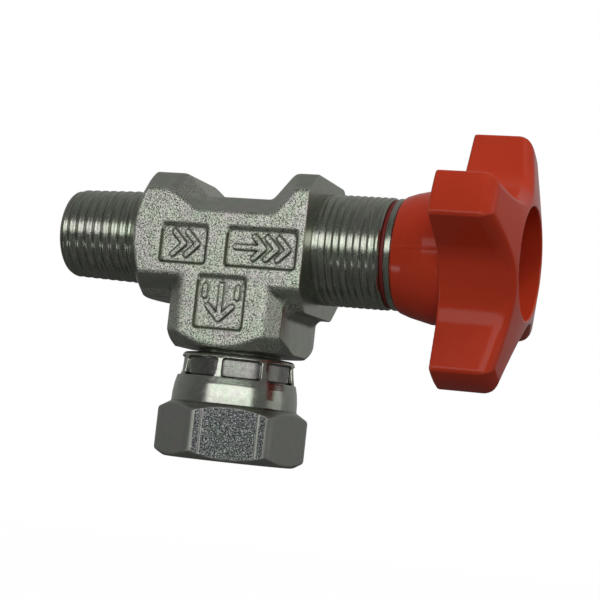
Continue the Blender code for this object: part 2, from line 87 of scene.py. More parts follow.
FORGING_START = 11.6                 # the inlet cone runs into the stub here
RIDGE_HALF = 5.5                     # half width of the flat ridges of the forging
RIGHT_RIDGE_HALF = 6.1
LEFT_TOP = 9.0                       # heights of the ridges over the main axis
NECK_TOP = 5.9
RIGHT_TOP = 9.7
LEFT_FALL = 0.795                    # height lost per mm outside a ridge
NECK_FALL = 0.69
RIGHT_FALL = 0.879
FLANK_START = 18.9                   # where the left boss starts to fall to the neck
RISE_START = 32.2                    # where the neck starts to rise to the right boss
PANEL_FACE = 38.9
BRANCH_SIDE = 8.9                    # half width of the branch
BRANCH_END = -15.6
BRANCH_BEVEL = 2.7                   # width of its corner bevels in the front view
PANEL_DEPTH = 0.45
PANEL_GROWTH = 0.15                  # the recess walls start this far outside the panels
MARK_LINE = -1.55                    # height of the arrow and chevrons in the upper panels
MARK_HALF_WIDTH = 0.3

INLET_BORE = 2.5                     # bore radii, from the inlet to the bonnet
SEAT_BORE = 1.6
CHAMBER_BORE = 4.4
PACKING_BORE = 5.15
GLAND_BORE = 6.0
BRANCH_BORE = 2.25
SEAT_SPAN = (19.5, 22.0)
PACKING_START = 30.0
GLAND_START = 42.3
CIRCLIP_GROOVE = (47.7, 48.25, 6.45)

INLET_CREST = 6.39                   # crest radius at the stub's end
INLET_TAPER = 1 / 32                 # radius gained per mm
INLET_PITCH = 1.337
INLET_DEPTH = 0.30
INLET_END = 13.2
BONNET_CREST = 7.87
BONNET_SHOULDER = 7.8
BONNET_PITCH = 1.0
BONNET_DEPTH = 0.15
RING_GROOVE = (BONNET_END - 1.5, BONNET_END - 0.8, 7.0)
SPIGOT_RADIUS = 6.5

NUT_TURN = radians(18.5)             # a hex flat's normal, from -Y towards +X
NUT_FLAT = 9.5
NUT_HEX_TOP = NUT_TOP - 7.2
NUT_CORNER = 10.65
SCRIBED_LINE = 3.9                   # raised lines on the front flat, from its middle
POCKET_COUNT = 8
POCKET_TURN = radians(24.5)
POCKET_HALF = 2.75
POCKET_FLOOR = 7.75
POCKET_SPAN = (NUT_TOP - 3.3, NUT_TOP - 0.7)
POCKET_MIDDLE = sum(POCKET_SPAN) / 2
POCKET_HALF_HEIGHT = (POCKET_SPAN[1] - POCKET_SPAN[0]) / 2
NUT_THREAD_CORE = 5.9
NUT_THREAD_TOP = -22.9
NUT_FLOOR = -22.3                    # top of the threaded socket
SPIGOT_ROOM = 6.8                    # bore radii around the spigot and at the collar's lip
LIP_BORE = 6.2

LOBE_TURN = radians(69.5)            # first lobe, from +Z towards -Y
LOBE_COUNT = 4
LOBE_RADIUS = 18.6
LOBE_TIP_HALF = 3.25
LOBE_TAPER = 0.135                   # a lobe's half width gained per mm towards the hub
LOBE_BACK = KNOB_START + 7.2
SCALLOP_ROOT = 9.9
SCALLOP_ARC = 20.0
DISC_RADIUS = 14.0
HUB_REACH = 0.1                      # how far the hub reaches back over the bonnet's end gap
RIM_RADIUS = 7.9                     # the knob's front face is a cone outside this radius
RIM_FALL = 0.21
RECESS_RADIUS = 7.6
RECESS_FLOOR = KNOB_START + 10.0
SCREW_HEAD = (62.02, 63.8, 2.85)     # underside, top and radius
SCREW_SOCKET_HALF = 1.28


# ---- distance field tools ----
def both(a, b, radius):
    """Intersection of two fields with an edge rounded by the radius."""
    corner = np.hypot(np.maximum(a + radius, 0), np.maximum(b + radius, 0))
    return np.minimum(-radius, np.maximum(a, b)) + corner


def either(a, b, radius):
    """Union of two fields with a fillet of the radius."""
    return -both(-a, -b, radius)


def without(a, b, radius):
    """First field with the second cut away, its edge rounded by the radius."""
    return both(a, -b, radius)


def stroke(u, v, start, end):
    """Distance from a line segment in a plane."""
    (u0, v0), (u1, v1) = start, end
    du, dv = u1 - u0, v1 - v0
    t = np.clip(((u - u0) * du + (v - v0) * dv) / (du * du + dv * dv), 0, 1)
    return np.hypot(u - u0 - t * du, v - v0 - t * dv)


def rounded_box(u, v, half_u, half_v, radius):
    """Distance from a rectangle with rounded corners in a plane."""
    a, b = np.abs(u) - half_u + radius, np.abs(v) - half_v + radius
    return np.minimum(np.maximum(a, b), 0) + np.hypot(np.maximum(a, 0), np.maximum(b, 0)) - radius


def gradient(field, points, step=0.02):
    """Unit outward direction and slope of a field at points."""
    columns = []
    for axis in range(3):
        ahead, behind = points.copy(), points.copy()
        ahead[:, axis] += step
        behind[:, axis] -= step
        columns.append((field(*ahead.T) - field(*behind.T)) / (2 * step))
    slope = np.stack(columns, 1)
    size = np.linalg.norm(slope, axis=1)[:, None].clip(1e-6)
    return slope / size, size[:, 0]


def cell_points(value, origin, cell, mixed):
    """One point for each mixed grid cell: the mean of the crossings on its edges."""
    i, j, k = mixed
    total = np.zeros((len(i), 3))
    count = np.zeros(len(i))
    corners = [(a, b, c) for a in (0, 1) for b in (0, 1) for c in (0, 1)]
    for a in corners:
        for axis in range(3):
            if a[axis]:
                continue
            b = tuple(1 if n == axis else a[n] for n in range(3))
            va = value[i + a[0], j + a[1], k + a[2]]
            vb = value[i + b[0], j + b[1], k + b[2]]
            crossed = (va < 0) != (vb < 0)
            share = np.where(crossed, va / np.where(crossed, va - vb, 1), 0)
            for n in range(3):
                place = a[n] + (share if n == axis else 0.0)
                total[:, n] += np.where(crossed, place, 0)
            count += crossed
    index = np.stack([i, j, k], 1)
    return (index + total / count[:, None]) * cell + origin


def grid_mesh(field, low, high, cell):
    """Quads of the field's zero surface, with points moved onto it."""
    axes = [np.arange(a, b + cell, cell) for a, b in zip(low, high)]
    x, y, z = np.meshgrid(*axes, indexing="ij", sparse=True)
    value = np.concatenate([field(x[n:n + 24], y, z) for n in range(0, x.shape[0], 24)])
    inside = value < 0
    filled = sum(inside[a:a - 1 or None, b:b - 1 or None, c:c - 1 or None].astype(np.int8)
                 for a in (0, 1) for b in (0, 1) for c in (0, 1))
    mixed = np.nonzero((filled > 0) & (filled < 8))
    number = -np.ones(filled.shape, np.int32)
    number[mixed] = np.arange(len(mixed[0]))
    points = cell_points(value, np.array(low, float), cell, mixed)
    quads = []
    for axis in range(3):
        ahead = np.roll(inside, -1, axis)
        crossed = inside != ahead
        crossed[(slice(None),) * axis + (-1,)] = False
        at = np.nonzero(crossed)
        u, v = [n for n in range(3) if n != axis]
        keep = (at[u] > 0) & (at[v] > 0) & (at[u] < filled.shape[u]) & (at[v] < filled.shape[v])
        at = [a[keep] for a in at]
        ring = []
        for du, dv in ((-1, -1), (0, -1), (0, 0), (-1, 0)):
            around = list(at)
            around[u] = at[u] + du
            around[v] = at[v] + dv
            ring.append(number[tuple(around)])
        ring = np.stack(ring, 1)
        leaving = inside[tuple(at)]
        if axis == 1:
            leaving = ~leaving
        ring[~leaving] = ring[~leaving][:, ::-1]
        quads.append(ring)
    for _ in range(3):
        direction, slope = gradient(field, points)
        reach = np.clip(field(*points.T) / slope, -cell, cell)
        points -= direction * reach[:, None]
    return points, np.concatenate(quads)


def field_object(name, field, low, high, cell, marks=None):
    """Object of a distance field, with exact normals and named point attributes."""
    points, quads = grid_mesh(field, low, high, cell)
    mesh = bpy.data.meshes.new(name)
    mesh.from_pydata((points * MM).tolist(), [], quads.tolist())
    mesh.shade_smooth()
    normals, _ = gradient(field, points)
    steps = [axis * side for axis in np.eye(3) for side in (BEND_REACH, -BEND_REACH)]
    bend = sum(field(*(points + step).T) for step in steps)
    put_attribute(mesh, "bend", bend / BEND_REACH)
    if marks:
        for key, values in marks(points, normals).items():
            put_attribute(mesh, key, values)
    mesh.normals_split_custom_set_from_vertices(normals.tolist())
    return link(name, mesh)


def put_attribute(mesh, key, values):
    layer = mesh.attributes.new(key, "FLOAT", "POINT")
    layer.data.foreach_set("value", np.asarray(values, np.float32))


def link(name, mesh):
    made = bpy.data.objects.new(name, mesh)
    bpy.context.scene.collection.objects.link(made)
    return made


# ---- turned pieces ----
def soften(profile, radius, steps=3):
    """A closed profile with each corner replaced by a short curve."""
    points = [np.array(p, float) for p in profile]
    curve = []
    for i, corner in enumerate(points):
        before, after = points[i - 1], points[(i + 1) % len(points)]
        a, b = before - corner, after - corner
        reach = min(radius, 0.45 * np.linalg.norm(a), 0.45 * np.linalg.norm(b))
        start = corner + a / np.linalg.norm(a) * reach
        end = corner + b / np.linalg.norm(b) * reach
        for n in range(steps + 1):
            t = n / steps
            curve.append((1 - t) ** 2 * start + 2 * t * (1 - t) * corner + t * t * end)
    return curve


def densify(profile, span, step):
    """Adds points along straight runs inside a span of (start, end, least radius)."""
    start, end, least = span
    dense = []
    for i, point in enumerate(profile):
        dense.append(point)
        after = profile[(i + 1) % len(profile)]
        length = abs(after[0] - point[0])
        middle = (after[0] + point[0]) / 2
        if start < middle < end and length > step * 2 and point[1] > least:
            count = int(length / step)
            dense += [point + (after - point) * n / count for n in range(1, count)]
    return dense


def turned(name, profile, axis="X", centre=0.0, segments=TURNED_SEGMENTS, relief=None):
    """Turn a closed profile of (along, radius) points about an axis.

    relief(along, radius, angle) gives what is added to the radius.
    """
    profile = np.array(profile)
    angle = np.arange(segments) * tau / segments
    along = np.repeat(profile[:, :1], segments, 1)
    radius = np.repeat(profile[:, 1:], segments, 1)
    if relief is not None:
        radius = radius + relief(along, radius, angle[None, :])
    across = (radius * np.cos(angle), radius * np.sin(angle))
    layers = (along, *across) if axis == "X" else (centre + across[0], across[1], along)
    points = np.stack(layers, -1).reshape(-1, 3)
    rows = len(profile)
    index = np.arange(rows * segments).reshape(rows, segments)
    quads = np.stack([index, np.roll(index, -1, 0), np.roll(np.roll(index, -1, 0), -1, 1),
                      np.roll(index, -1, 1)], -1).reshape(-1, 4)
    mesh = bpy.data.meshes.new(name)
    mesh.from_pydata((points * MM).tolist(), [], quads.tolist())
    tidy(mesh)
    made = link(name, mesh)
    mesh.shade_smooth()
    mesh.set_sharp_from_angle(angle=radians(50))
    return made


def tidy(mesh):
    """Merge coincident points and turn the faces outward."""
    bm = bmesh.new()
    bm.from_mesh(mesh)
    bmesh.ops.remove_doubles(bm, verts=bm.verts, dist=1e-7)
    bmesh.ops.recalc_face_normals(bm, faces=bm.faces)
    bm.to_mesh(mesh)
    bm.free()


def helix(pitch, depth, start, fade_in, end, fade_out, floor):
    """Relief of a right-hand thread cut between start and end, fading over the given lengths.

    It only touches points further out than floor.
    """
    def relief(along, radius, angle):
        turn = along / pitch - angle / tau
        height = np.abs(2 * (turn - np.floor(turn)) - 1)
        flank = 0.5 - 0.5 * np.cos(pi * np.clip((height - 0.06) / 0.8, 0, 1))
        share = np.clip((along - start) / fade_in, 0, 1) * np.clip((end - along) / fade_out, 0, 1)
        return -depth * (1 - flank) * share * (radius > floor)
    return relief


# ---- the forging ----
def sheet(height, start, end, half_width, step=0.1, blur=0.32):
    """Samples a height over (x, |y|) and softens its creases.

    Returns a function of (x, y) that gives the height and the share of a rise that is
    distance from the sloping sheet.
    """
    xs = np.arange(start, end, step)
    ys = np.arange(-half_width, half_width + step, step)
    table = height(xs[:, None], np.abs(ys[None, :]))
    reach = int(3 * blur / step)
    kernel = np.exp(-0.5 * (np.arange(-reach, reach + 1) * step / blur) ** 2)
    kernel /= kernel.sum()
    for axis in (0, 1):
        sides = [(reach, reach) if n == axis else (0, 0) for n in (0, 1)]
        padded = np.pad(table, sides, mode="reflect", reflect_type="odd")
        count = table.shape[axis]
        table = sum(w * np.take(padded, np.arange(n, n + count), axis) for n, w in enumerate(kernel))
    steepness = 1 / np.sqrt(1 + sum(g * g for g in np.gradient(table, step)))

    def read(x, y):
        u, v = (x - xs[0]) / step, (y - ys[0]) / step
        i = np.clip(np.floor(u).astype(int), 0, len(xs) - 2)
        j = np.clip(np.floor(v).astype(int), 0, len(ys) - 2)
        a, b = u - i, v - j
        return [(t[i, j] * (1 - a) + t[i + 1, j] * a) * (1 - b)
                + (t[i, j + 1] * (1 - a) + t[i + 1, j + 1] * a) * b for t in (table, steepness)]
    return read


def upper_height(x, depth):
    """Top of the bar: left boss with a faceted flank, lower neck, right boss."""
    out = np.maximum(depth - RIDGE_HALF, 0)
    far = np.maximum(depth - RIGHT_RIDGE_HALF, 0)
    boss = LEFT_TOP - LEFT_FALL * out
    run = x - FLANK_START
    dome = 0.50 * run + 0.04 * run * np.maximum(run, 0)
    facet = LEFT_TOP - dome - 0.934 * out
    flank = LEFT_TOP - dome - 0.224 * run - 0.765 * out
    left = np.minimum(boss, np.minimum(facet, flank))
    neck = NECK_TOP - NECK_FALL * out
    rise = NECK_TOP + 1.308 * (x - RISE_START) - 1.296 * out
    right = np.minimum(RIGHT_TOP - RIGHT_FALL * far, rise)
    return np.maximum(np.maximum(left, neck), right)


def lower_height(x, depth):
    """Underside of the bar: the two bosses meeting inside the branch."""
    out = np.maximum(depth - RIDGE_HALF, 0)
    far = np.maximum(depth - RIGHT_RIDGE_HALF, 0)
    return np.where(x < BRANCH_X, LEFT_FALL * out - LEFT_TOP, RIGHT_FALL * far - RIGHT_TOP)


UPPER = sheet(upper_height, 9.0, 42.0, 12.0)
LOWER = sheet(lower_height, 9.0, 42.0, 12.0)
# lower left and upper right corner of each panel, as (x, z)
PANELS = (((17.7, -4.3), (24.6, 1.2)), ((27.5, -4.3), (37.8, 1.2)), ((23.9, -13.1), (31.1, -5.7)))


def panel_cut(x, y, z):
    """Shallow recesses with sloping walls in the front face, widest along their tops."""
    sunk = y + HALF_THICKNESS
    found = None
    for (x0, z0), (x1, z1) in PANELS:
        low, high = z0 - PANEL_GROWTH, z1 + 0.2
        flat = rounded_box(x - (x0 + x1) / 2, z - (low + high) / 2,
                           (x1 - x0) / 2 + PANEL_GROWTH, (high - low) / 2, 0.6)
        slope = np.where(z > z1 - 0.9, 1.35, 0.8)
        cut = both((flat + slope * sunk) / np.hypot(1, slope), sunk - PANEL_DEPTH, 0.08)
        found = cut if found is None else np.minimum(found, cut)
    return found


def panel_marks(x, z):
    """Plain flow arrows and chevrons, as distances from their centre lines."""
    lines = [((28.9, MARK_LINE), (33.1, MARK_LINE))]
    for tip, size in ((33.1, 1.5), (34.9, 1.5), (36.6, 1.5), (21.2, 1.6), (23.2, 1.6)):
        lines += [((tip - size, MARK_LINE + side * size), (tip, MARK_LINE)) for side in (1, -1)]
    middle, point = 27.5, -11.7
    lines.append(((middle, -7.0), (middle, point)))
    for side in (-1, 1):
        lines.append(((middle + side * 1.8, point + 1.8), (middle, point)))
        lines.append(((middle + side * 2.4, -7.2), (middle + side * 2.4, -8.6)))
    return np.minimum.reduce(np.broadcast_arrays(*[stroke(x, z, *line) for line in lines]))


def forging_field(x, y, z):
    """Bar with bosses, branch, chamfered ends, panels with raised marks, and the bores."""
    depth = np.abs(y)
    radius = np.hypot(y, z)
    top, steep = UPPER(x, y)
    base, steep_below = LOWER(x, y)
    bar = both((z - top) * steep, (base - z) * steep_below, 0.1)
    bar = np.maximum(bar, x - PANEL_FACE)

    side = np.abs(x - BRANCH_X) - BRANCH_SIDE
    bevel = (1.9 * (side + BRANCH_BEVEL) + 2.25 * (depth - HALF_THICKNESS)) / np.hypot(1.9, 2.25)
    bevel = np.maximum(bevel, (4.0 * side + depth - RIDGE_HALF) / np.hypot(4.0, 1.0))
    branch = both(both(side, bevel, 0.3), z, 0.1)
    inside = np.clip((8.4 - depth) / 2.4, 0, 1)      # fillets grow away from the faces
    body = either(bar, branch, 0.3 + inside * np.interp(x, [20, 36], [0.3, 1.2]))
    body = both(both(body, depth - HALF_THICKNESS, 0.32), x - PANEL_FACE, 0.25)

    inlet_cone = (13.5 + 0.72 * (radius - 9.4) - x) * 0.81
    body = both(body, inlet_cone, 0.25)
    about_branch = np.hypot(x - BRANCH_X, y)
    branch_cone = (BRANCH_END + 0.92 * (about_branch - 9.25) - z) * 0.74
    body = both(body, np.maximum(branch_cone, BRANCH_END - z), 0.25)

    body = without(body, panel_cut(x, y, z), 0.1)
    sunk = y + HALF_THICKNESS
    marks = panel_marks(x, z) - MARK_HALF_WIDTH + 0.4 * (0.1 - sunk)
    raised = both(both(marks, 0.12 - sunk, 0.08), sunk - 1.0, 0.1)
    body = either(body, raised, 0.06)

    seat_start, seat_end = SEAT_SPAN
    bore = np.where(x < seat_start, INLET_BORE, np.where(x < seat_end, SEAT_BORE, CHAMBER_BORE))
    bore = radius - np.where(x > PACKING_START, PACKING_BORE, bore)
    down_bore = np.maximum(about_branch - BRANCH_BORE, z)
    return np.maximum(body, -np.minimum(bore, down_bore))


def forging_marks(points, normals):
    """Where the sand texture shows (rough) and where the panels' walls are, which the material darkens as
    painted shade (wall).

    It is full on the front and back faces and fainter on the left flank and branch bevels.
    """
    x, y, z = points.T
    near = np.clip((np.abs(y) - HALF_THICKNESS + 0.9) / 0.3, 0, 1)
    flank = np.clip((x - 18.6) / 0.6, 0, 1) * np.clip((25.0 - x) / 1.0, 0, 1)
    flank *= np.clip((z - 3.0 - NECK_FALL * np.maximum(RIDGE_HALF - np.abs(y), -4)) / 0.5, 0, 1)
    face = near * np.clip((np.abs(normals[:, 1]) - 0.55) / 0.25, 0, 1)
    bevel = np.clip((np.abs(x - BRANCH_X) - 5.0) / 0.5, 0, 1) * (z < -8.0) * (np.abs(normals[:, 1]) > 0.4)
    sunk = y + HALF_THICKNESS
    # the sloping panel walls, which the material darkens as painted shade
    painted_wall_shade = np.clip((0.93 - np.abs(normals[:, 1])) / 0.2, 0, 1) * (sunk > 0.06)
    painted_wall_shade *= (panel_cut(x, y, z) < 0.12) * np.clip((panel_marks(x, z) - 0.5) / 0.2, 0, 1)
    flank *= z > NECK_TOP - 1.0
    return {"rough": np.maximum(np.maximum(face, 0.5 * flank), 0.6 * bevel), "painted_wall_shade": painted_wall_shade}


def make_forging():
    low = (FORGING_START, -HALF_THICKNESS - MARGIN, BRANCH_END - MARGIN)
    high = (PANEL_FACE + MARGIN, HALF_THICKNESS + MARGIN, RIGHT_TOP + MARGIN)
    made = field_object("forging", forging_field, low, high, FORGING_CELL, forging_marks)
    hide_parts("valve_body")
    return made


def make_inlet_stub():
    """Taper-threaded stub with its bore, running into the forging."""
    first, last = [(x, INLET_CREST + x * INLET_TAPER) for x in (1.0, INLET_END)]
    ring = [(0.0, INLET_BORE + 0.2), (0.0, 5.6), (0.35, 6.1), first, last,
            (INLET_END, INLET_BORE), (0.2, INLET_BORE)]
    profile = densify(soften(ring, 0.2), (0.8, 13.0, 6.0), 0.06)
    relief = helix(INLET_PITCH, INLET_DEPTH, 0.5, 0.6, 12.3, 1.0, 5.6)
    return turned("inlet_thread_stub", profile, relief=relief)


def make_bonnet():
    """Panel-mounting bonnet: run-out, thread, seal groove, land and gland bore."""
    start, end, root = RING_GROOVE
    clip_start, clip_end, clip_root = CIRCLIP_GROOVE
    land_end = BONNET_END + 0.05
    ring = [(38.2, PACKING_BORE), (38.2, BONNET_SHOULDER), (39.2, BONNET_SHOULDER), (39.35, BONNET_CREST),
            (start - 0.3, BONNET_CREST), (start, 7.62), (start, root), (end, root),
            (end, BONNET_SHOULDER), (BONNET_END, BONNET_SHOULDER), (land_end, 7.7), (land_end, 6.15),
            (BONNET_END - 0.1, GLAND_BORE), (clip_end, GLAND_BORE), (clip_end, clip_root),
            (clip_start, clip_root), (clip_start, GLAND_BORE), (GLAND_START, GLAND_BORE),
            (GLAND_START, PACKING_BORE)]
    profile = densify(soften(ring, 0.07), (39.3, start - 0.2, 7.8), 0.045)
    relief = helix(BONNET_PITCH, BONNET_DEPTH, 39.6, 1.8, start - 0.3, 0.3, 7.6)
    return turned("bonnet_thread", profile, segments=BONNET_SEGMENTS, relief=relief)


def make_spigot():
    """Headed spigot that the swivel nut hangs on."""
    ring = [(-14.9, BRANCH_BORE), (-14.9, 5.9), (-18.2, 5.9), (-18.2, SPIGOT_RADIUS),
            (SPIGOT_END + 0.5, SPIGOT_RADIUS), (SPIGOT_END, 6.0), (SPIGOT_END, BRANCH_BORE)]
    return turned("branch_spigot", soften(ring, 0.1), axis="Z", centre=BRANCH_X)


# ---- swivel nut ----
def nut_frame(x, y):
    """Plane coordinates in which the hex's front flat faces -v."""
    u, v = x - BRANCH_X, y
    return u * cos(NUT_TURN) + v * sin(NUT_TURN), -u * sin(NUT_TURN) + v * cos(NUT_TURN)


def neck_radius(z):
    """Outside radius of the collar, bulging towards the hex."""
    levels = [NUT_HEX_TOP, NUT_HEX_TOP + 1.4, NUT_HEX_TOP + 2.8, *POCKET_SPAN, NUT_TOP]
    return np.interp(z, levels, [8.95, 8.9, 8.72, 8.45, 8.05, 7.85])


def nut_field(x, y, z):
    """Hex with scribed lines, collar with shallow pockets, and the threaded socket."""
    u, v = nut_frame(x, y)
    radius = np.hypot(u, v)
    hexagon = np.abs(v) - NUT_FLAT
    for turn in (pi / 3, -pi / 3):
        hexagon = both(hexagon, np.abs(u * sin(turn) + v * cos(turn)) - NUT_FLAT, 0.12)
    top = (z - NUT_HEX_TOP + (radius - 9.15) * 0.62) * 0.85
    end = (NUT_END - z + (radius - 9.2) * 0.62) * 0.85
    hexagon = both(hexagon, np.maximum(top, end), 0.12)
    hexagon = both(both(hexagon, radius - NUT_CORNER, 0.3), NUT_END - z, 0.2)
    line = np.exp(-((np.abs(u) - SCRIBED_LINE) / 0.1) ** 2) * (v < -8.0)
    hexagon = np.maximum(hexagon, z - NUT_HEX_TOP) + 0.05 * line

    neck = both(radius - neck_radius(z), z - NUT_TOP, 0.35)
    for n in range(POCKET_COUNT):
        turn = POCKET_TURN - NUT_TURN + n * tau / POCKET_COUNT
        out = u * sin(turn) - v * cos(turn)
        side = u * cos(turn) + v * sin(turn)
        window = rounded_box(side, z - POCKET_MIDDLE, POCKET_HALF, POCKET_HALF_HEIGHT, 0.45)
        floor = 0.8 * radius + 0.2 * out             # between round and flat
        neck = without(neck, both(POCKET_FLOOR - floor, window, 0.15), 0.12)
    solid = either(hexagon, both(neck, NUT_HEX_TOP - 1.0 - z, 0.1), 0.25)

    turn = z / INLET_PITCH - np.arctan2(v, u) / tau
    height = np.abs(2 * (turn - np.floor(turn)) - 1)
    groove = 0.6 * np.clip((height - 0.14) / 0.72, 0, 1) * np.clip((NUT_THREAD_TOP - z) / 0.6, 0, 1)
    mouth = np.maximum(NUT_THREAD_CORE + groove, 6.65 - (z - NUT_END) * 0.9)
    bore = np.where(z < NUT_FLOOR, mouth, np.where(z < NUT_TOP - 1.7, SPIGOT_ROOM, LIP_BORE))
    return both(solid, bore - radius, 0.08)


def nut_marks(points, normals):
    """Coarse sand on the front flat and its opposite, the dull forged hex, and the pockets."""
    x, y, z = points.T
    u, v = nut_frame(x, y)
    low = z < NUT_HEX_TOP
    across = -normals[:, 0] * sin(NUT_TURN) + normals[:, 1] * cos(NUT_TURN)
    coarse = (np.abs(across) > 0.97) & low & (np.hypot(u, v) > 9.0)
    sunk = np.clip((neck_radius(z) - np.hypot(u, v) - 0.12) / 0.12, 0, 1)
    pocket = sunk * np.clip((POCKET_HALF_HEIGHT - np.abs(z - POCKET_MIDDLE)) / 0.2, 0, 1)
    return {"sand": coarse, "forged": low & (np.hypot(u, v) > 8.9), "pocket": pocket}


def make_nut():
    reach = NUT_CORNER + MARGIN
    low = (BRANCH_X - reach, -reach, NUT_END - MARGIN)
    high = (BRANCH_X + reach, reach, NUT_TOP + MARGIN)
    made = field_object("swivel_gauge_nut", nut_field, low, high, NUT_CELL, nut_marks)
    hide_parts("gauge_nut")
    return made


# ---- knob ----
def knob_outline(y, z):
    """Plane field of the four lobes and the scalloped disc between them."""
    angle = np.arctan2(-y, z) - LOBE_TURN
    radius = np.hypot(y, z)
    pitch = tau / LOBE_COUNT
    near = angle - np.round(angle / pitch) * pitch
    along, across = radius * np.cos(near), np.abs(radius * np.sin(near))
    flank = (across - LOBE_TIP_HALF - LOBE_TAPER * (LOBE_RADIUS - along)) / np.hypot(1, LOBE_TAPER)
    lobe = both(flank, radius - LOBE_RADIUS, 0.45)
    between = pitch / 2 - np.abs(near)
    out, side = radius * np.cos(between), radius * np.sin(between)
    scallop = SCALLOP_ARC - np.hypot(out - SCALLOP_ROOT - SCALLOP_ARC, side)
    disc = np.maximum(scallop, radius - DISC_RADIUS)
    return either(lobe, disc, 0.7)


def knob_field(x, y, z):
    """Lobes with a conical front, round hub with a mould seam, stepped bore and recess."""
    radius = np.hypot(y, z)
    front = (x - KNOB_RIM + RIM_FALL * (radius - RIM_RADIUS)) * 0.98
    lobes = both(both(knob_outline(y, z), LOBE_BACK - x, 0.4), np.maximum(front, x - KNOB_RIM), 1.8)
    hub_radius = np.interp(x, [KNOB_START, KNOB_START + 1.6, KNOB_START + 4.6, LOBE_BACK + 1.0],
                           [8.1, 8.65, 9.35, 9.5])
    hub = both(both(radius - hub_radius, KNOB_START - HUB_REACH - x, 0.4), x - LOBE_BACK - 2.0, 0.1)
    solid = either(hub, lobes, 0.5)
    bore = np.maximum(radius - 5.6, x - KNOB_START - 3.0)
    bore = np.minimum(bore, np.maximum(radius - 5.2, x - KNOB_START - 8.8))
    bore = np.minimum(bore, np.maximum(radius - 2.2, x - RECESS_FLOOR - 1.0))
    recess = both(radius - RECESS_RADIUS - 0.02 * (x - RECESS_FLOOR), RECESS_FLOOR - x, 0.4)
    seam = 0.05 * np.exp(-(z / 0.12) ** 2) * (x < LOBE_BACK)
    return both(solid - seam, -np.minimum(bore, recess), 0.2)


def make_knob():
    reach = LOBE_RADIUS + 0.5
    made = field_object("lobed_knob", knob_field, (KNOB_START - MARGIN, -reach, -reach),
                        (KNOB_RIM + MARGIN, reach, reach), KNOB_CELL)
    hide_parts("knob")
    return made


# ---- small turned pieces ----
def make_small_pieces():
    """Fine versions of the small turned CAD pieces that can be seen."""
    start, end, root = RING_GROOVE
    middle = (start + end) / 2
    made = {
        "bonnet_ring": soften([(start + 0.02, root + 0.05), (start + 0.02, 7.5), (middle, 7.68),
                               (end - 0.02, 7.5), (end - 0.02, root + 0.05)], 0.12),
        "gland_bush": soften([(46.55, 3.75), (46.55, 5.8), (46.75, 5.8), (46.75, 5.1), (47.35, 5.1),
                              (47.35, 5.8), (47.6, 5.8), (47.6, 5.15), (52.6, 5.15), (52.6, 4.75),
                              (51.3, 4.75), (51.3, 3.75)], 0.1),
        "wiper_ring": soften([(51.45, 3.65), (51.45, 4.6), (52.5, 4.6), (52.5, 3.65)], 0.2),
        "knob_washer": soften([(60.72, 1.75), (60.72, 4.5), (61.2, 4.5), (61.2, 1.75)], 0.1),
    }
    pieces = {}
    for node, profile in made.items():
        pieces[node] = turned(node + "_fine", profile)
        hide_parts(node)
    pieces["gauge_seal_ring"] = turned(
        "gauge_seal_ring_fine", soften([(-22.2, 2.6), (-22.2, 5.6), (-23.4, 5.6), (-23.4, 2.6)], 0.15),
        axis="Z", centre=BRANCH_X)
    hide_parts("gauge_seal_ring")
    return pieces


def screw_field(x, y, z):
    """Screw in the knob's recess, with a hexagonal socket."""
    radius = np.hypot(y, z)
    underside, top, head_radius = SCREW_HEAD
    head = both(both(radius - head_radius, x - top, 0.3), underside - x, 0.08)
    shank = both(both(radius - 1.5, x - 63.0, 0.1), 53.8 - x, 0.3)
    socket = np.abs(y) - SCREW_SOCKET_HALF
    for turn in (pi / 3, -pi / 3):
        socket = np.maximum(socket, np.abs(z * sin(turn) + y * cos(turn)) - SCREW_SOCKET_HALF)
    socket = both(socket, 62.7 - x, 0.05)
    return both(np.minimum(head, shank), -socket, 0.08)


def make_screw():
    made = field_object("knob_screw_fine", screw_field, (53.4, -3.2, -3.2), (64.2, 3.2, 3.2), SCREW_CELL)
    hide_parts("knob_screw")
    return made


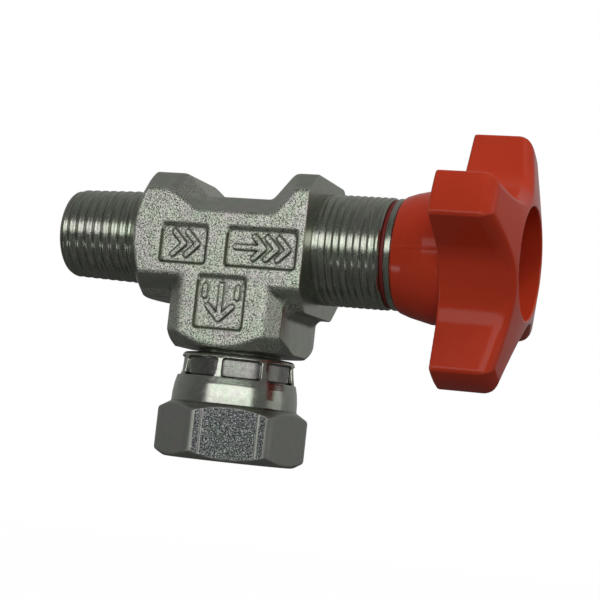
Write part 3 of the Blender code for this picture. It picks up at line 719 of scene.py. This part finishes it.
# ---- materials ----
class Look:
    """A Principled material with the node recipes that the finishes share."""

    def __init__(self, name, **sockets):
        self.material = bpy.data.materials.new(name)
        self.material.use_nodes = True
        self.tree = self.material.node_tree
        self.shader = self.tree.nodes["Principled BSDF"]
        for key, value in sockets.items():
            self.shader.inputs[key.replace("_", " ").title()].default_value = value
        self.place = self.add("TexCoord").outputs["Object"]
        self.normal = None

    def add(self, kind, **values):
        node = self.tree.nodes.new("ShaderNode" + kind)
        for key, value in values.items():
            setattr(node, key, value)
        return node

    def set(self, socket, value):
        if isinstance(value, bpy.types.NodeSocket):
            self.tree.links.new(value, socket)
        else:
            socket.default_value = value

    def noise(self, size, detail=2.0, stretch=(1, 1, 1)):
        """Noise with grains of about size mm, drawn out along axes whose stretch is below 1."""
        place = self.add("Mapping")
        self.set(place.inputs["Vector"], self.place)
        place.inputs["Scale"].default_value = [s / (size * MM) for s in stretch]
        node = self.add("TexNoise")
        node.inputs["Scale"].default_value = 1.0
        node.inputs["Detail"].default_value = detail
        self.set(node.inputs["Vector"], place.outputs["Vector"])
        return node.outputs["Fac"]

    def attribute(self, key):
        return self.add("Attribute", attribute_name=key).outputs["Fac"]

    def ramp(self, factor, *stops):
        node = self.add("ValToRGB")
        while len(node.color_ramp.elements) < len(stops):
            node.color_ramp.elements.new(0.5)
        for element, (at, colour) in zip(node.color_ramp.elements, stops):
            element.position = at
            element.color = (*colour, 1)
        self.set(node.inputs["Fac"], factor)
        return node.outputs["Color"]

    def span(self, factor, low, high, out_low=0.0, out_high=1.0):
        """Factor mapped from low..high to out_low..out_high."""
        node = self.add("MapRange")
        ends = {"From Min": low, "From Max": high, "To Min": out_low, "To Max": out_high}
        for key, value in ends.items():
            node.inputs[key].default_value = value
        self.set(node.inputs["Value"], factor)
        return node.outputs["Result"]

    def mix(self, factor, a, b, blend="MIX"):
        node = self.add("Mix", data_type="RGBA", blend_type=blend)
        self.set(node.inputs[0], factor)
        for socket, value in ((node.inputs[6], a), (node.inputs[7], b)):
            self.set(socket, (*value, 1) if isinstance(value, tuple) and len(value) == 3 else value)
        return node.outputs[2]

    def math(self, operation, a, b=0.0):
        node = self.add("Math", operation=operation)
        self.set(node.inputs[0], a)
        self.set(node.inputs[1], b)
        return node.outputs[0]

    def bump(self, height, depth, strength=1.0):
        """Adds a layer of relief, depth in mm."""
        node = self.add("Bump")
        node.inputs["Distance"].default_value = depth * MM
        self.set(node.inputs["Strength"], strength)
        self.set(node.inputs["Height"], height)
        if self.normal:
            self.set(node.inputs["Normal"], self.normal)
        self.normal = node.outputs["Normal"]

    def done(self, colour, roughness=None):
        self.set(self.shader.inputs["Base Color"], colour)
        if roughness is not None:
            self.set(self.shader.inputs["Roughness"], roughness)
        if self.normal:
            self.set(self.shader.inputs["Normal"], self.normal)
        return self.material


SAND_GRAIN = 0.17                    # grain size of the blasted faces


def tinted_zinc(look, base):
    """Bright passivated zinc: drifts and specks of green and violet over the base colour."""
    tint = look.ramp(look.noise(2.6, 4.0), (0.30, (0.86, 1.0, 0.80)), (0.5, (0.95, 0.99, 0.85)),
                     (0.70, (0.98, 0.93, 0.91)))
    specks = look.ramp(look.noise(0.3, 1.0), (0.36, (0.82, 1.0, 0.84)), (0.5, (1.0, 1.0, 1.0)),
                       (0.64, (0.95, 0.88, 1.0)))
    return look.mix(0.8, look.mix(0.35, base, specks, "MULTIPLY"), tint, "MULTIPLY")


def forged_zinc():
    """Blasted faces with sparkling grains and smoother chamfers, with painted shade on the panel walls and in
    concave corners and painted highlights on convex edges.
    """
    look = Look("forged_zinc", metallic=1.0)
    rough, bend = look.attribute("rough"), look.attribute("bend")
    grain = look.noise(SAND_GRAIN, 2.0)
    fine = look.noise(0.08, 1.0)
    smooth = look.mix(look.noise(1.2, 4.0), (0.42, 0.42, 0.41), (0.62, 0.62, 0.60))
    sandy = look.ramp(grain, (0.37, (0.12, 0.125, 0.11)), (0.5, (0.78, 0.78, 0.76)),
                      (0.60, (1.0, 1.0, 0.98)))
    colour = look.mix(rough, smooth, sandy)
    # painted shade: concave corners and creases darkened to near black
    colour = look.mix(look.span(bend, -0.3, -1.5, 0.0, 0.85), colour, (0.07, 0.08, 0.055))
    # painted highlight: convex edges lightened
    colour = look.mix(look.span(bend, 0.8, 2.4, 0.0, 0.35), colour, (0.75, 0.75, 0.72))
    # painted shade: the panel walls darkened towards a dark green-grey
    colour = look.mix(look.span(look.attribute("painted_wall_shade"), 0, 1, 0.0, 0.7), colour, (0.15, 0.18, 0.11))
    colour = tinted_zinc(look, colour)
    look.bump(grain, 0.07, look.span(rough, 0, 1, 0.08, 1.0))
    look.bump(fine, 0.02, look.span(rough, 0, 1, 0.25, 0.8))
    look.bump(look.noise(1.6, 3.0), 0.12, 0.25)
    gloss = look.span(rough, 0, 1, 0.32, 0.44)
    return look.done(colour, look.math("ADD", gloss, look.span(fine, 0.3, 0.7, -0.06, 0.06)))


def turned_zinc(name, stretch, base=(0.62, 0.63, 0.60)):
    """Machined zinc with fine tool lines, drawn out along axes whose stretch is below 1."""
    look = Look(name, metallic=1.0)
    lines = look.noise(0.12, 2.0, stretch)
    colour = look.mix(look.noise(0.8, 3.0), tuple(0.75 * c for c in base), base)
    colour = look.mix(look.span(lines, 0.35, 0.65), look.mix(0.5, colour, (0.12, 0.13, 0.10)), colour)
    colour = tinted_zinc(look, colour)
    look.bump(lines, 0.014, 0.6)
    look.bump(look.noise(0.6, 2.0), 0.02, 0.2)
    return look.done(colour, look.span(look.noise(0.35, 3.0), 0.3, 0.7, 0.16, 0.30))


def nut_zinc():
    """Polished collar with painted shade and painted reflection in its pockets, dull hex, dark sparkling sand
    on its front flat, painted shade in concave corners and painted highlights on edges.
    """
    look = Look("nut_zinc", metallic=1.0)
    sand, forged, bend = look.attribute("sand"), look.attribute("forged"), look.attribute("bend")
    grain = look.noise(SAND_GRAIN, 2.0)
    brushed = look.noise(0.16, 1.0, (0.05, 0.05, 1.0))
    polished = look.mix(look.noise(0.9, 3.0), (0.40, 0.41, 0.39), (0.58, 0.58, 0.57))
    # darker violet in the pockets: painted shade and painted reflection
    painted_pocket_shade = look.mix(look.noise(0.5, 3.0), (0.16, 0.13, 0.17), (0.42, 0.42, 0.41))
    polished = look.mix(look.span(look.attribute("pocket"), 0, 1, 0.0, 0.8), polished, painted_pocket_shade)
    dull = look.mix(look.noise(0.7, 4.0), (0.42, 0.42, 0.42), (0.52, 0.52, 0.52))
    coarse = look.ramp(grain, (0.36, (0.05, 0.055, 0.06)), (0.52, (0.17, 0.175, 0.19)),
                       (0.68, (0.62, 0.63, 0.68)))
    colour = look.mix(forged, polished, dull)
    colour = look.mix(sand, colour, coarse)
    # painted shade: concave corners darkened to near black
    colour = look.mix(look.span(bend, -0.3, -1.6), colour, (0.05, 0.05, 0.05))
    # painted highlight: convex edges lightened
    colour = look.mix(look.span(bend, 0.9, 3.0, 0.0, 0.25), colour, (0.7, 0.7, 0.68))
    colour = tinted_zinc(look, colour)
    look.bump(grain, 0.08, sand)
    look.bump(brushed, 0.010, 0.4)
    rough = look.mix(forged, (0.21,) * 3, (0.42,) * 3)
    return look.done(colour, look.math("ADD", rough, look.span(look.noise(0.4), 0.3, 0.7, -0.05, 0.05)))


def moulded_red():
    """Glossy red plastic with painted highlights along its convex edges."""
    look = Look("moulded_red")
    look.shader.inputs["Specular IOR Level"].default_value = 0.22
    bend = look.attribute("bend")
    colour = look.mix(look.noise(7.0, 3.0), (0.56, 0.042, 0.016), (0.67, 0.064, 0.025))
    # painted highlight: convex edges lightened towards pale orange
    colour = look.mix(look.span(bend, 0.7, 2.2, 0.0, 0.45), colour, (0.85, 0.22, 0.12))
    look.bump(look.noise(0.5, 2.0), 0.010, 0.3)
    look.bump(look.noise(3.5, 2.0), 0.10, 0.2)
    return look.done(colour, look.span(look.noise(1.5, 3.0), 0.3, 0.7, 0.14, 0.20))


def plain_look(name, dark, light, grain, roughness, relief=0.01, **sockets):
    """Two tones of one material mottled at a grain size, with a matching fine relief."""
    look = Look(name, **sockets)
    mottle = look.noise(grain, 3.0)
    look.bump(look.noise(grain * 0.3, 2.0), relief, 0.5)
    return look.done(look.mix(mottle, dark, light), look.span(mottle, 0.3, 0.7, *roughness))


LOOKS = {
    "forged_zinc": forged_zinc(),
    "turned_zinc": turned_zinc("turned_zinc", (1.0, 0.04, 0.04)),
    # a darker copy of turned zinc for the spigot: painted shade, as it sits in shadow under the forging
    "turned_zinc_branch_shaded": turned_zinc("turned_zinc_branch_shaded", (0.04, 0.04, 1.0), (0.4, 0.4, 0.39)),
    "nut_zinc": nut_zinc(),
    "moulded_red": moulded_red(),
    "stainless": plain_look("stainless", (0.45, 0.45, 0.46), (0.60, 0.60, 0.61), 0.4, (0.2, 0.3),
                            metallic=1.0),
    "brass": plain_look("brass", (0.58, 0.40, 0.16), (0.76, 0.56, 0.26), 0.5, (0.22, 0.36),
                        metallic=1.0),
    "spring_steel": plain_look("spring_steel", (0.10, 0.10, 0.11), (0.2, 0.2, 0.21), 0.4, (0.3, 0.5),
                               metallic=1.0),
    "red_seal": plain_look("red_seal", (0.16, 0.012, 0.010), (0.24, 0.02, 0.014), 0.6, (0.4, 0.6)),
    "black_rubber": plain_look("black_rubber", (0.012, 0.012, 0.012), (0.035, 0.035, 0.034), 0.5,
                               (0.5, 0.7)),
    "white_ptfe": plain_look("white_ptfe", (0.70, 0.70, 0.66), (0.85, 0.85, 0.82), 0.8, (0.35, 0.5),
                             subsurface_weight=0.1),
}
# looks of the material slots that don't share their look's name
SLOT_LOOKS = {"zinc_turned": "turned_zinc", "zinc_forged": "forged_zinc", "red_plastic": "moulded_red"}


def slot_look(slot):
    return SLOT_LOOKS.get(slot, slot)


def dress(piece, look):
    """Give a piece or CAD node one look."""
    piece.data.materials.clear()
    piece.data.materials.append(LOOKS[look])


def finish_piece(piece, body, look):
    """Fix a piece to its body, and give it its material slot and look."""
    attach(piece, body)
    dress(piece, look)


# ---- stage, in metres and degrees ----
def aim(azimuth, elevation):
    """Unit vector towards a direction; azimuth 0 is in front and 90 is to the right."""
    a, e = radians(azimuth), radians(elevation)
    return Vector((sin(a) * cos(e), -cos(a) * cos(e), sin(e)))


CENTRE = Vector((35.93, 0.0, -7.35)) * MM    # the point that the camera looks at
VIEW = (18.9, -5.07)                         # camera azimuth and elevation
ROLL = radians(6.24)
DISTANCE = 0.2328
LENS = 98.93                                 # mm, on a sensor 36 mm wide
# azimuth, elevation, distance, width, height, power, and whether shiny surfaces mirror it
LAMPS = {
    "front_box": (9, 13, 0.6, 1.05, 0.27, 1.60, True),
    "upper_lamp": (-63, 38, 0.6, 0.08, 0.08, 0.16, False),
    "low_lamp": (-56, -26, 0.3, 0.07, 0.05, 0.04, True),
    "right_box": (100, 15, 0.6, 0.35, 0.3, 0.14, True),
    "knob_lamp": (75, 60, 0.35, 0.12, 0.12, 0.32, False),
}
STUDIO_LEVELS = ((0.0, 0.10), (0.35, 0.12), (0.5, 0.19), (0.7, 0.21), (1.0, 0.22))    # bottom to top
STUDIO_FRONT, STUDIO_BACK = 0.4, 1.6         # factors on the level in front and behind
FLOOR_RADIUS = 1.6
FLOOR_DROP = 0.11                            # below the end of the nut


def make_camera():
    back = aim(*VIEW)
    right = Vector((cos(radians(VIEW[0])), sin(radians(VIEW[0])), 0))
    up = back.cross(right)
    turned_right = cos(ROLL) * right + sin(ROLL) * up
    turned_up = -sin(ROLL) * right + cos(ROLL) * up
    place = CENTRE + back * DISTANCE
    data = bpy.data.cameras.new("camera")
    data.sensor_width = 36.0
    data.lens = LENS
    data.clip_start = 0.01
    camera = bpy.data.objects.new("camera", data)
    camera.matrix_world = Matrix(((turned_right.x, turned_up.x, back.x, place.x),
                                  (turned_right.y, turned_up.y, back.y, place.y),
                                  (turned_right.z, turned_up.z, back.z, place.z), (0, 0, 0, 1)))
    bpy.context.scene.collection.objects.link(camera)
    bpy.context.scene.camera = camera


def soft_box(name, azimuth, elevation, distance, width, height, power, mirrored):
    """Rectangular lamp that faces the point the camera looks at."""
    data = bpy.data.lights.new(name, "AREA")
    data.shape = "RECTANGLE"
    data.size, data.size_y = width, height
    data.energy = power
    lamp = bpy.data.objects.new(name, data)
    lamp.visible_glossy = mirrored
    direction = aim(azimuth, elevation)
    lamp.location = CENTRE + direction * distance
    lamp.rotation_euler = direction.to_track_quat("Z", "Y").to_euler()
    bpy.context.scene.collection.objects.link(lamp)


def make_world():
    """Grey studio: darker in front and below, lighter behind; white only to the camera."""
    world = bpy.data.worlds.new("studio")
    bpy.context.scene.world = world
    world.use_nodes = True
    nodes, links = world.node_tree.nodes, world.node_tree.links
    background = nodes["Background"]
    place = nodes.new("ShaderNodeTexCoord")
    parts = nodes.new("ShaderNodeSeparateXYZ")
    links.new(place.outputs["Generated"], parts.inputs[0])
    height = nodes.new("ShaderNodeMapRange")
    height.inputs["From Min"].default_value = -1.0
    links.new(parts.outputs["Z"], height.inputs["Value"])
    ramp = nodes.new("ShaderNodeValToRGB")
    while len(ramp.color_ramp.elements) < len(STUDIO_LEVELS):
        ramp.color_ramp.elements.new(0.5)
    for element, (at, level) in zip(ramp.color_ramp.elements, STUDIO_LEVELS):
        element.position = at
        element.color = (level, level, level, 1)
    links.new(height.outputs[0], ramp.inputs["Fac"])
    behind = nodes.new("ShaderNodeMapRange")
    for key, value in (("From Min", -1.0), ("To Min", STUDIO_FRONT), ("To Max", STUDIO_BACK)):
        behind.inputs[key].default_value = value
    links.new(parts.outputs["Y"], behind.inputs["Value"])
    shade = nodes.new("ShaderNodeMix")
    shade.data_type, shade.blend_type = "RGBA", "MULTIPLY"
    shade.inputs[0].default_value = 1.0
    links.new(ramp.outputs["Color"], shade.inputs[6])
    links.new(behind.outputs[0], shade.inputs[7])
    path = nodes.new("ShaderNodeLightPath")
    mix = nodes.new("ShaderNodeMix")
    mix.data_type = "RGBA"
    links.new(path.outputs["Is Camera Ray"], mix.inputs[0])
    links.new(shade.outputs[2], mix.inputs[6])
    mix.inputs[7].default_value = (1.0, 1.0, 1.0, 1)
    links.new(mix.outputs[2], background.inputs["Color"])


def make_floor():
    """Pale round floor well below the valve, near white where the camera sees it."""
    bm = bmesh.new()
    bmesh.ops.create_circle(bm, cap_ends=True, segments=96, radius=FLOOR_RADIUS)
    mesh = bpy.data.meshes.new("floor")
    bm.to_mesh(mesh)
    bm.free()
    floor = link("floor", mesh)
    floor.location = (CENTRE.x, 0, NUT_END * MM - FLOOR_DROP)
    look = Look("floor", roughness=0.9)
    emission = look.add("Emission")
    emission.inputs["Color"].default_value = (0.98, 0.98, 0.98, 1)
    emission.inputs["Strength"].default_value = 1.12
    path, mix = look.add("LightPath"), look.add("MixShader")
    share = look.math("MULTIPLY", path.outputs["Is Camera Ray"], 0.9)
    look.set(mix.inputs[0], share)
    look.set(mix.inputs[1], look.shader.outputs[0])
    look.set(mix.inputs[2], emission.outputs[0])
    look.set(look.tree.nodes["Material Output"].inputs["Surface"], mix.outputs[0])
    floor.data.materials.append(look.done(look.mix(look.noise(60.0), (0.15, 0.15, 0.15), (0.18, 0.18, 0.18))))


def main():
    make_camera()
    make_world()
    for name, values in LAMPS.items():
        soft_box(name, *values)
    make_floor()
    bpy.context.scene.view_settings.view_transform = "Standard"

    record = frame["record"]
    slots = {part["node"]: part["material_slot"] for part in record["subparts"]}
    bodies = record["behaviour"]["bodies"]
    body_of = {node: body for body, nodes in bodies.items() for node in nodes}

    finish_piece(make_forging(), "valve_body", "forged_zinc")
    finish_piece(make_inlet_stub(), "valve_body", "turned_zinc")
    finish_piece(make_bonnet(), "valve_body", "turned_zinc")
    # the spigot takes the darker copy of turned zinc, which is painted shade
    finish_piece(make_spigot(), "valve_body", "turned_zinc_branch_shaded")
    finish_piece(make_nut(), "gauge_nut", "nut_zinc")
    finish_piece(make_knob(), "knob_spindle", "moulded_red")
    finish_piece(make_screw(), "knob_spindle", "turned_zinc")
    for node, piece in make_small_pieces().items():
        finish_piece(piece, body_of[node], slot_look(slots[node]))
    for node, cad in frame["nodes"].items():
        if not cad.hide_render:
            dress(cad, slot_look(slots[node]))


main()
